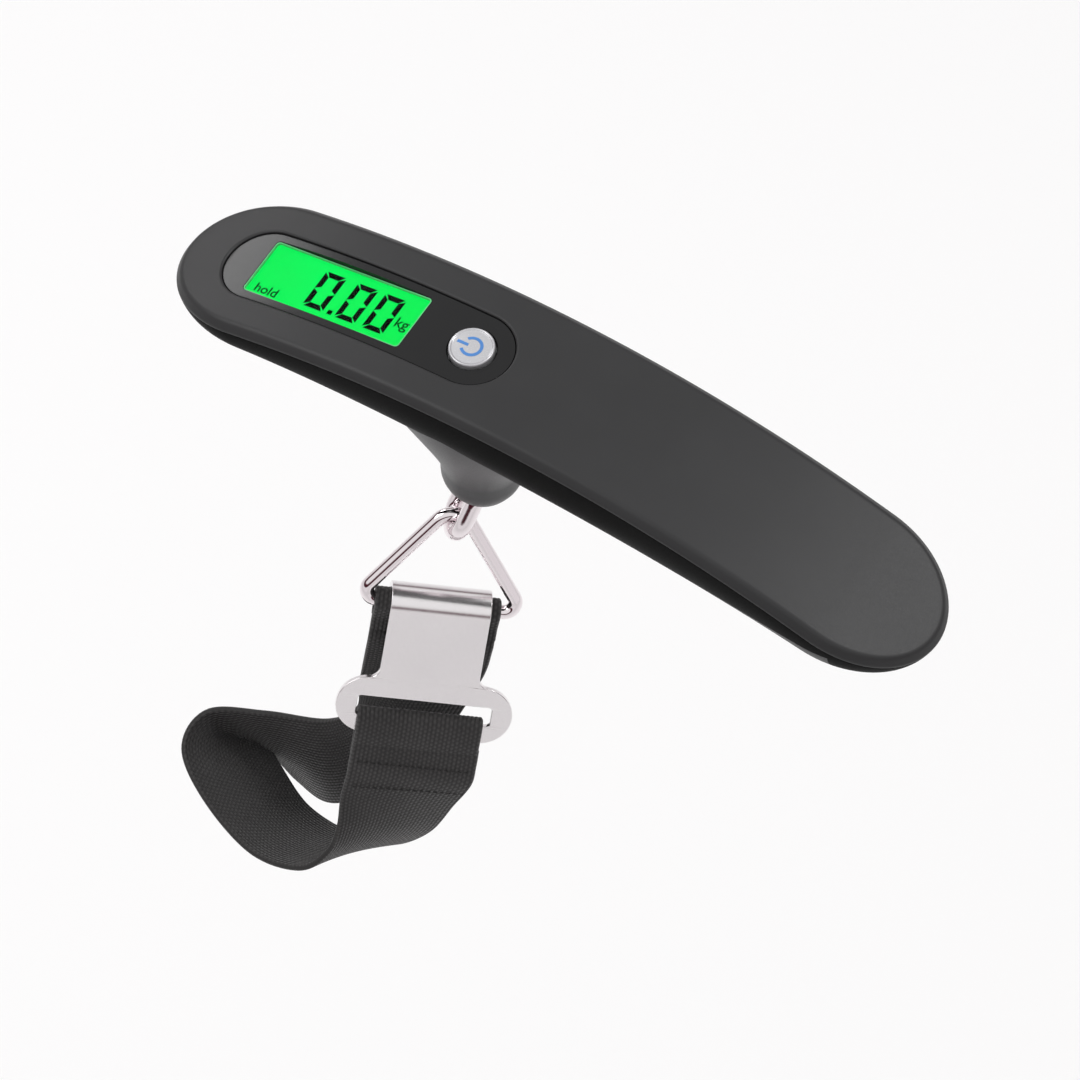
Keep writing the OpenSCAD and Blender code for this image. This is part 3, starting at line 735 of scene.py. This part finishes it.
def display_bezel():
    rings = [panel_ring(-0.35, PANEL_H + 0.02), panel_ring(-0.12, PANEL_H + 0.05),
             panel_ring(0, PANEL_H + 0.22), panel_ring(0, 2.1), panel_ring(1.5, 2.1),
             panel_ring(1.5, 2.9)]
    stack = at_arch(LCD_S)
    window = prism(rounded_rect(LCD_LEN + 0.2, LCD_W + 0.2, 0.8), -6, -1.0, stack)
    rim_out, rim_in = (rounded_rect(LCD_LEN + w, LCD_W + w, 0.8 + w / 2) for w in (1.1, 0.2))
    points = [stack @ Vector((x, y, z)) for outline_, z in ((rim_in, -1.35), (rim_out, 1.0))
              for x, y in outline_]
    n = len(rim_in)
    funnel = (points, [tuple(reversed(range(n))), tuple(range(n, 2 * n))]
              + [(k, (k + 1) % n, n + (k + 1) % n, n + k) for k in range(n)])
    hole = lathe([(BUTTON_R + 0.2, -8), (BUTTON_R + 0.2, -1.0), (BUTTON_R + 0.55, -0.3),
                  (BUTTON_R + 0.9, 2)], at_arch(BUTTON_S))
    mesh = carve(scratch(*loft(rings)), [window, funnel, hole])
    return settle(mesh, "display_bezel", "panel_plastic", "housing",
                  ("display_panel",), flats=True)


def digit_zero(x0, x1, y0, y1, width=1.15, gap=0.07):
    """The six outer bars of a seven-segment nought, mitred at the corners and at mid height."""
    mid, cut, slope = (y0 + y1) / 2, 0.22 * width, 0.55 * width
    bars = []
    for outer, side in ((y1, -1), (y0, 1)):
        inner = outer + side * width
        bars.append([(x0 + gap + cut, outer), (x0 + width + gap, inner), (x1 - width - gap, inner),
                     (x1 - gap - cut, outer)])
    for outer, side in ((x0, 1), (x1, -1)):
        inner = outer + side * width
        for end, turn in ((y1, -1), (y0, 1)):
            bars.append([(outer, end + turn * (gap + cut)), (inner, end + turn * (width + gap)),
                         (inner, mid - turn * (gap + slope)), (outer, mid - turn * gap)])
    return [anticlockwise(bar) for bar in bars]


def anticlockwise(shape):
    area = sum(a[0] * b[1] - b[0] * a[1] for a, b in zip(shape, shape[1:] + shape[:1]))
    return shape if area > 0 else shape[::-1]


def lcd_digits():
    """0.00 on the display, upright along its length."""
    place = at_arch(LCD_S)
    top, base = 0.34 * LCD_W, -0.355 * LCD_W
    bars = []
    for start, end in ((-0.150, -0.020), (0.055, 0.185), (0.232, 0.365)):
        bars += digit_zero(start * LCD_LEN, end * LCD_LEN, base, top)
    dot_x, dot_y = 0.02 * LCD_LEN, base + 0.5
    bars.append([(dot_x + u, dot_y + v) for u, v in ((-.5, -.5), (.5, -.5), (.5, .5), (-.5, .5))])
    parts = [prism(bar, LCD_FACE_Z - 0.02, LCD_FACE_Z + 0.03, place) for bar in bars]
    return piece("lcd_digits", *merged(parts), "black_plastic", "housing", material=INK)


def lcd_word(name, word, size, x, y):
    """A unit or state word on the display, its lower left corner at x and y."""
    curve = bpy.data.curves.new(name, "FONT")
    curve.body = word
    curve.size = size
    curve.extrude = 0.02
    curve.offset = 0.02
    text = bpy.data.objects.new(name, curve)
    bpy.context.scene.collection.objects.link(text)
    view = bpy.context.evaluated_depsgraph_get()
    mesh = bpy.data.meshes.new_from_object(text.evaluated_get(view))
    bpy.data.objects.remove(text)
    place = at_arch(LCD_S) @ Matrix.Translation((x, y, LCD_FACE_Z + 0.01))
    mesh.transform(Matrix.Scale(MM, 4) @ place)
    return settle(mesh, name, "black_plastic", "housing", material=INK)


def lcd_edge():
    """Thin pale frame that lines the window's opening."""
    place = at_arch(LCD_S)
    parts = []
    inner = rounded_rect(LCD_LEN - 0.35, LCD_W - 0.35, 0.7)
    outer = rounded_rect(LCD_LEN, LCD_W, 0.8)
    n = len(inner)
    points = [place @ Vector((x, y, z)) for ring, z in
              ((inner, -1.98), (outer, -1.98), (outer, -1.30), (inner, -1.30)) for x, y in ring]
    faces = []
    for j in range(4):
        for k in range(n):
            q, up = (k + 1) % n, (j + 1) % 4
            faces.append((j * n + k, up * n + k, up * n + q, j * n + q))
    parts.append((points, faces))
    return piece("lcd_edge", *merged(parts), "white_plastic", "housing",
                 material=surface("pale_green", (0.12, 0.55, 0.22), 0.3))


def button_cap():
    """Silver cap with a bright rolled rim round a shallow dome."""
    profile = rounded_path([
        (0.02, 0.34, 0), (2.0, 0.31, 0.6), (3.55, 0.12, 0.4), (3.85, 0.10, 0.1), (4.05, 0.32, 0.14),
        (4.30, 0.32, 0.14), (BUTTON_R, 0.02, 0.2), (BUTTON_R, -3.05, 0), (BUTTON_R + 0.6, -3.05, 0),
        (BUTTON_R + 0.6, -3.45, 0), (0.02, -3.45, 0),
    ])
    return piece("button_cap", *lathe(list(reversed(profile)), at_arch(BUTTON_S)),
                 "silver_button", "button", ("power_button",), angle=40)


def power_sign():
    """Broken ring with a bar through its gap, toward the display."""
    place = at_arch(BUTTON_S)
    mid, half_w, gap, steps = 1.95, 0.31, math.radians(38), 40
    dome = [(0, 0.36), (2.0, 0.325), (3.4, 0.17)]

    def lift(radius):
        low, high = (dome[0], dome[1]) if radius < dome[1][0] else (dome[1], dome[2])
        t = (radius - low[0]) / (high[0] - low[0])
        return low[1] + t * (high[1] - low[1])

    points, faces = [], []
    for k in range(steps + 1):
        a = math.pi + gap + (2 * math.pi - 2 * gap) * k / steps
        for radius in (mid - half_w, mid + half_w):
            for z in (-0.05, 0.02):
                points.append(place @ Vector((radius * math.cos(a), radius * math.sin(a),
                                              lift(radius) + z)))
    for k in range(steps):
        i = 4 * k
        for a, b in ((0, 1), (1, 3), (3, 2), (2, 0)):
            faces.append((i + a, i + b, i + 4 + b, i + 4 + a))
    faces += [(0, 2, 3, 1), tuple(4 * steps + v for v in (0, 1, 3, 2))]
    bar, bar_faces = [], []
    bar_start, bar_end, bar_steps = -3.15, -0.75, 6
    for k in range(bar_steps + 1):
        x = bar_start + (bar_end - bar_start) * k / bar_steps
        for y in (-half_w, half_w):
            for z in (-0.05, 0.025):
                bar.append(place @ Vector((x, y, lift(abs(x)) + z)))
    for k in range(bar_steps):
        i = 4 * k
        for a, b in ((0, 1), (1, 3), (3, 2), (2, 0)):
            bar_faces.append((i + a, i + b, i + 4 + b, i + 4 + a))
    bar_faces += [(0, 2, 3, 1), tuple(4 * bar_steps + v for v in (0, 1, 3, 2))]
    return piece("power_sign", *merged([(points, faces), (bar, bar_faces)]), "silver_button",
                 "button", material=BLUE_INK)


# ---- Chain ----


def bar_frame():
    """Frame of the ring's base bar: +X along the bar, +Z up to the ring's apex."""
    origin = Vector(joints["hook_swing"]["pos_m"]) / MM
    x = Vector(joints["ring_swing"]["axis"]).normalized()
    z = (Vector(joints["ring_swing"]["pos_m"]) / MM - origin).normalized()
    y = z.cross(x).normalized()
    x = y.cross(z)
    return Matrix.Translation(origin) @ Matrix((x, y, z)).transposed().to_4x4()


BAR = bar_frame()
EYE_AT = Vector(joints["link_swing"]["pos_m"]) / MM


def wire_loop(path, radius, place, sides=28):
    """Closed round wire along (x, z) points of the frame's XZ plane."""
    n = len(path)
    points, faces = [], []
    for k, (x, z) in enumerate(path):
        ahead, behind = path[(k + 1) % n], path[k - 1]
        along = Vector((ahead[0] - behind[0], ahead[1] - behind[1])).normalized()
        for i in range(sides):
            a = 2 * math.pi * i / sides
            reach = radius * math.cos(a)
            points.append(place @ Vector((x + reach * along.y, radius * math.sin(a),
                                          z - reach * along.x)))
    for k in range(n):
        for i in range(sides):
            q, far = (i + 1) % sides, (k + 1) % n * sides
            faces.append((k * sides + i, far + i, far + q, k * sides + q))
    return points, faces


def arc(cx, cz, radius, start, end, steps):
    return [
        (cx + radius * math.cos(math.radians(start + (end - start) * k / steps)),
         cz + radius * math.sin(math.radians(start + (end - start) * k / steps)))
        for k in range(steps + 1)
    ]


def dense(path, pitch):
    """Adds points to the long straight stretches of a closed path."""
    result = []
    for k, start in enumerate(path):
        end = path[(k + 1) % len(path)]
        steps = max(1, round(math.dist(start, end) / pitch))
        for i in range(steps):
            t = i / steps
            result.append((start[0] + t * (end[0] - start[0]), start[1] + t * (end[1] - start[1])))
    return result


def eye():
    plane = Matrix.Translation(EYE_AT) @ Matrix.Rotation(EYE_TURN, 4, "Z")
    parts = [wire_loop(arc(0, 0, EYE_R, 0, 356.25, 95), EYE_WIRE_R, plane)]
    stud = [(2.0, EYE_R), (2.0, 2.7 - EYE_AT.z), (1.8, 2.9 - EYE_AT.z)]
    parts.append(lathe(stud, Matrix.Translation(EYE_AT)))
    return piece("eye", *merged(parts), "chrome_wire", "housing", ("hanger_eye",), angle=50)


def turned(degrees):
    return Euler([math.radians(a) for a in degrees], "XYZ").to_matrix().to_4x4()


def link():
    """Closed oblong of wire, its upper wire resting in the eye."""
    contact = EYE_AT + EYE_R * Vector((
        -math.sin(LINK_SWING) * math.cos(EYE_TURN),
        -math.sin(LINK_SWING) * math.sin(EYE_TURN),
        -math.cos(LINK_SWING),
    ))
    turn = turned(LINK_TURN)
    head = contact + (EYE_WIRE_R + LINK_WIRE_R + LINK_PLAY) * (turn.to_3x3() @ Vector((0, 0, 1)))
    low = -LINK_LEN + LINK_HALF_GAP
    path = arc(0, -LINK_HALF_GAP, LINK_HALF_GAP, 0, 180, 28)
    path += arc(0, low, LINK_HALF_GAP, 180, 360, 28)
    place = Matrix.Translation(head) @ turn
    return piece("link", *wire_loop(dense(path, 0.7), LINK_WIRE_R, place), "chrome_wire", "link",
                 ("hanger_link",), angle=60)


def triangle_ring():
    """Rounded triangle of wire: two legs and a base bar that join three bends."""
    gap_x, gap_z = RING_HALF_W - CORNER_BEND, CORNER_BEND - (RING_H - APEX_BEND)
    reach = math.hypot(gap_x, gap_z)
    normal = math.degrees(math.atan2(gap_z, gap_x) + math.acos((APEX_BEND - CORNER_BEND) / reach))
    path = arc(0, RING_H - APEX_BEND, APEX_BEND, normal, 180 - normal, 24)
    path += arc(-gap_x, CORNER_BEND, CORNER_BEND, 180 - normal, 270, 18)
    path += arc(gap_x, CORNER_BEND, CORNER_BEND, 270, 360 + normal, 18)
    return piece("ring", *wire_loop(dense(path, 0.8), RING_WIRE_R, BAR), "chrome_wire", "ring",
                 ("triangle_ring",), angle=60)


def plate_outline(bend_len):
    """Neck, two round lobes and their fillets, anticlockwise from the neck's upper right."""
    mid, lobe_r = (LOBE_Z[0] + LOBE_Z[1]) / 2, (LOBE_Z[1] - LOBE_Z[0]) / 2
    cx, fx, fz = LOBE_HALF_W - lobe_r, NECK_HALF_W + NECK_FILLET, LOBE_Z[1] + NECK_FILLET
    left = arc(-fx, fz, NECK_FILLET, 0, -90, 8) + arc(-cx, mid, lobe_r, 90, 270, 24)
    right = [(-x, z) for x, z in reversed(left)]
    return [(NECK_HALF_W, bend_len), (-NECK_HALF_W, bend_len)] + left + right


def hook_plate():
    """Flat plate with soft edges, its neck rolled half a turn over the ring's bar."""
    thick, edge = PLATE_OUT - PLATE_IN, 0.16
    mid_r = (PLATE_OUT + PLATE_IN) / 2
    bend_len = math.pi * mid_r
    curve = bpy.data.curves.new("plate", "CURVE")
    curve.dimensions = "2D"
    curve.fill_mode = "BOTH"
    curve.extrude = thick / 2 - edge
    curve.bevel_depth = edge
    curve.bevel_resolution = 2
    curve.offset = -edge
    slot = [(x, z + (SLOT_Z[0] + SLOT_Z[1]) / 2) for x, z in
            rounded_rect(2 * SLOT_HALF_LEN, SLOT_Z[1] - SLOT_Z[0], 0.7)]
    for outline_ in (plate_outline(bend_len), slot):
        spline = curve.splines.new("POLY")
        spline.points.add(len(outline_) - 1)
        spline.use_cyclic_u = True
        for point, (x, z) in zip(spline.points, outline_):
            point.co = (x, z, 0, 1)
    shape = bpy.data.objects.new("plate", curve)
    bpy.context.scene.collection.objects.link(shape)
    view = bpy.context.evaluated_depsgraph_get()
    flat = bmesh.new()
    flat.from_mesh(shape.evaluated_get(view).to_mesh())
    bpy.data.objects.remove(shape)
    bmesh.ops.remove_doubles(flat, verts=flat.verts, dist=0.002)
    cuts = [bend_len * k / 24 for k in range(24)] + [-3, -6, -9, -12]
    for z in cuts:
        everything = flat.verts[:] + flat.edges[:] + flat.faces[:]
        bmesh.ops.bisect_plane(flat, geom=everything, plane_co=(0, z, 0), plane_no=(0, 1, 0))
    for vert in flat.verts:
        x, z, front = vert.co
        radius = mid_r + front
        if z <= 0:
            vert.co = (x, -radius, z)
        else:
            turn = z / mid_r
            vert.co = (x, -radius * math.cos(turn), radius * math.sin(turn))
    bmesh.ops.recalc_face_normals(flat, faces=flat.faces)
    mesh = bpy.data.meshes.new("hook_plate")
    flat.to_mesh(mesh)
    flat.free()
    mesh.transform(Matrix.Scale(MM, 4) @ BAR)
    return settle(mesh, "hook", "satin_steel", "hook", ("hook_plate",), angle=60, flats=True)


# ---- Webbing ----

# Edges of the webbing from the hook plate's rail round to the ring's bar: near edge, far edge.
LOOP_EDGES = [
    ((-12.7, -3.95, -29.4), (12, -3.95, -29.4)),
    ((-12.7, -3.95, -33), (12, -3.95, -33)),
    ((-12.8, -3.9, -37.4), (11.7, -3.7, -37.4)),
    ((-13.2, -3.6, -43), (9.6, -0.5, -44)),
    ((-13, -4.2, -50), (6.5, 5, -54)),
    ((-14.3, -4.8, -55.5), (1, 12, -62)),
    ((-19, -3, -61), (-7, 19, -65.5)),
    ((-28, 4.5, -63), (-15.5, 26, -64.5)),
    ((-37.5, 16, -59), (-21.5, 33, -60)),
    ((-42.2, 25.5, -53.5), (-23.5, 38.5, -59)),
    ((-38, 31, -48), (-21.5, 41, -62.5)),
    ((-27, 28, -45), (-16.5, 36.5, -65.5)),
    ((-15.5, 21, -41), (-10.5, 27.5, -64)),
    ((-10.8, 14, -33), (-2.5, 19.5, -54.5)),
    ((-11.8, 8.5, -24), (6, 11, -37)),
    ((-12.3, 4, -16), (11.2, 5, -19)),
    ((-12.6, 0.7, -9.4), (11.8, 0.7, -9.4)),
    ((-12.6, 0.62, -6), (11.8, 0.62, -6)),
    ((-12.6, 0.62, -2.9), (11.8, 0.62, -2.9)),
]


def spline_point(points, t):
    """Point on a smooth curve through the points, t counting them from 0."""
    last = len(points) - 1
    i = min(int(t), last - 1)
    t -= i
    before = points[i - 1] if i else 2 * points[0] - points[1]
    after = points[i + 2] if i + 2 <= last else 2 * points[last] - points[last - 1]
    start, end = points[i], points[i + 1]
    return 0.5 * (2 * start + (end - before) * t
                  + (2 * before - 5 * start + 4 * end - after) * t * t
                  + (3 * start - before - 3 * end + after) * t ** 3)


def even_stations(near, far, pitch):
    """Pairs of edge points an even pitch apart along the middle of the webbing."""
    fine = 40 * (len(near) - 1)
    pairs = [(spline_point(near, k / 40), spline_point(far, k / 40)) for k in range(fine + 1)]
    mids = [(a + b) / 2 for a, b in pairs]
    run = [0.0]
    for k in range(1, len(mids)):
        run.append(run[-1] + (mids[k] - mids[k - 1]).length)
    count = max(2, round(run[-1] / pitch))
    stations, k = [], 0
    for i in range(count + 1):
        goal = run[-1] * i / count
        while k < fine - 1 and run[k + 1] < goal:
            k += 1
        t = (goal - run[k]) / (run[k + 1] - run[k])
        t = min(1, max(0, t))
        here, there = pairs[k], pairs[k + 1]
        stations.append((here[0].lerp(there[0], t), here[1].lerp(there[1], t)))
    return stations, run[-1]


def webbing(name, near, far, body, replaces, start_run=0.0, pitch=0.62, columns=3):
    """Ribbed webbing with rounded edges, ruled between two edge curves of the bar's frame."""
    stations, length = even_stations(near, far, pitch)
    across = RIBS * columns
    grid = [[a.lerp(b, j / across) for j in range(across + 1)] for a, b in stations]
    rows, half, rib_depth, edge = len(stations), STRAP_T / 2, 0.07, 0.55
    points, uv = [], []
    for side in (1, -1):
        for k, row in enumerate(grid):
            ahead, behind = grid[min(k + 1, rows - 1)], grid[max(k - 1, 0)]
            v = (start_run + length * k / (rows - 1)) / STRAP_W
            for j, centre in enumerate(row):
                along = ahead[j] - behind[j]
                beside = row[min(j + 1, across)] - row[max(j - 1, 0)]
                normal = along.cross(beside).normalized()
                inset = min(j, across - j) / across * STRAP_W
                soft = math.sqrt(max(0.0, 1 - (1 - min(1, inset / edge)) ** 2))
                rib = abs(math.sin(math.pi * j / columns)) - 0.5
                height = (half - 0.05) * (0.25 + 0.75 * soft) + rib_depth * rib
                points.append(BAR @ (centre + side * height * normal))
                uv.append((j / across, v))
    n, faces = across + 1, []
    back = rows * n
    for k in range(rows - 1):
        for j in range(across):
            a = k * n + j
            faces.append((a, a + n, a + n + 1, a + 1))
            faces.append((back + a, back + a + 1, back + a + n + 1, back + a + n))
    for k in range(rows - 1):
        for j in (0, across):
            a, b = k * n + j, (k + 1) * n + j
            faces.append((a, back + a, back + b, b) if j == 0 else (a, b, back + b, back + a))
    for j in range(across):
        for k in (0, rows - 1):
            a = k * n + j
            faces.append((a, a + 1, back + a + 1, back + a) if k == 0
                         else (a, back + a, back + a + 1, a + 1))
    obj = piece(name, points, faces, "webbing", body, replaces, angle=60, uv=uv)
    return obj, length


def sleeve(name, path, body, replaces):
    """Webbing along a (y, z) path of the bar's frame, square to the bar."""
    near = [Vector((STRAP_X[0], y, z)) for y, z in path]
    far = [Vector((STRAP_X[1] - 0.2, y, z)) for y, z in path]
    return webbing(name, near, far, body, replaces, start_run=7.3, pitch=0.5)


def hook_sleeve():
    """From the tail behind, up round the rail through the slot, and down the front."""
    back, front, top = -2.72, -3.95, SLOT_Z[0] + 0.75
    path = [(back, -37.4), (back, -35), (back, -33), (back, -30.4), (-2.05, -28.4), (-1.95, -26),
            (-2.0, top - 0.9), (-2.45, top - 0.1), (-3.3, top + 0.25), (-4.15, top - 0.1),
            (-4.6, top - 0.9), (-4.62, -26), (-4.5, -28), (front - 0.1, -30.2)]
    return sleeve("hook_sleeve", path, "hook", ("hook_strap_end",))


def ring_sleeve():
    """From the tail in front, up round the ring's bar and down behind."""
    radius = RING_WIRE_R + 0.05 + STRAP_T / 2
    turn = [(-radius * math.cos(math.radians(a)), radius * math.sin(math.radians(a)))
            for a in range(-20, 201, 20)]
    path = [(-0.66, -6.2), (-0.66, -4.8), (-0.75, -3.6), (-1.35, -2.0)] + turn
    path += [(1.3, -2.2), (0.7, -3.7)]
    return sleeve("ring_sleeve", path, "ring", ("ring_strap_end",))


def strap_loop():
    near = [Vector(a) for a, b in LOOP_EDGES]
    far = [Vector(b) for a, b in LOOP_EDGES]
    obj, length = webbing("webbing_loop", near, far, None, ("strap_loop",))
    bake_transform(obj)
    return obj


def stitch_row(name, z, body, count=17, lean=0.0):
    """Row of thread stitches across the front of the webbing under the hook plate."""
    parts = []
    pitch = (STRAP_W - 2.4) / count
    for k in range(count):
        x = STRAP_X[0] + 1.2 + pitch * (k + 0.5)
        centre = Vector((x, -4.62 + lean * (x - STRAP_X[0]) / STRAP_W, z))
        place = BAR @ Matrix.Translation(centre) @ Matrix.Rotation(math.pi / 2, 4, "Y")
        place = place @ Matrix.Rotation(math.radians(12), 4, "X")
        length, radius = pitch * 0.72, 0.17
        angles = [math.pi * i / 8 for i in range(1, 8)]
        profile = [(radius * math.sin(a) ** 0.6, -length / 2 * math.cos(a)) for a in angles]
        parts.append(lathe(profile, place, 10))
    return piece(name, *merged(parts), "webbing", body, material=THREAD, angle=60)


# ---- Build ----


def finish_cad_nodes():
    """The CAD nodes that stay get the finish of their slot."""
    for name, obj in frame["nodes"].items():
        obj.data.materials.clear()
        obj.data.materials.append(MATERIALS[slot_of[name]])


finish_cad_nodes()
studio(aim_camera())
floor()
top_cover()
bottom_cover()
battery_cover()
boss()
display_bezel()
lcd_digits()
lcd_word("lcd_hold", "hold", 2.9, -0.455 * LCD_LEN, -0.42 * LCD_W)
lcd_word("lcd_kg", "kg", 3.3, 0.385 * LCD_LEN, -0.14 * LCD_W)
lcd_edge()
button_cap()
power_sign()
eye()
link()
triangle_ring()
hook_plate()
hook_sleeve()
ring_sleeve()
strap_loop()
stitch_row("stitches_upper", -34.3, "hook")
stitch_row("stitches_lower", -40.1, "hook", lean=1.6)

bpy.context.scene.view_settings.view_transform = "Standard"
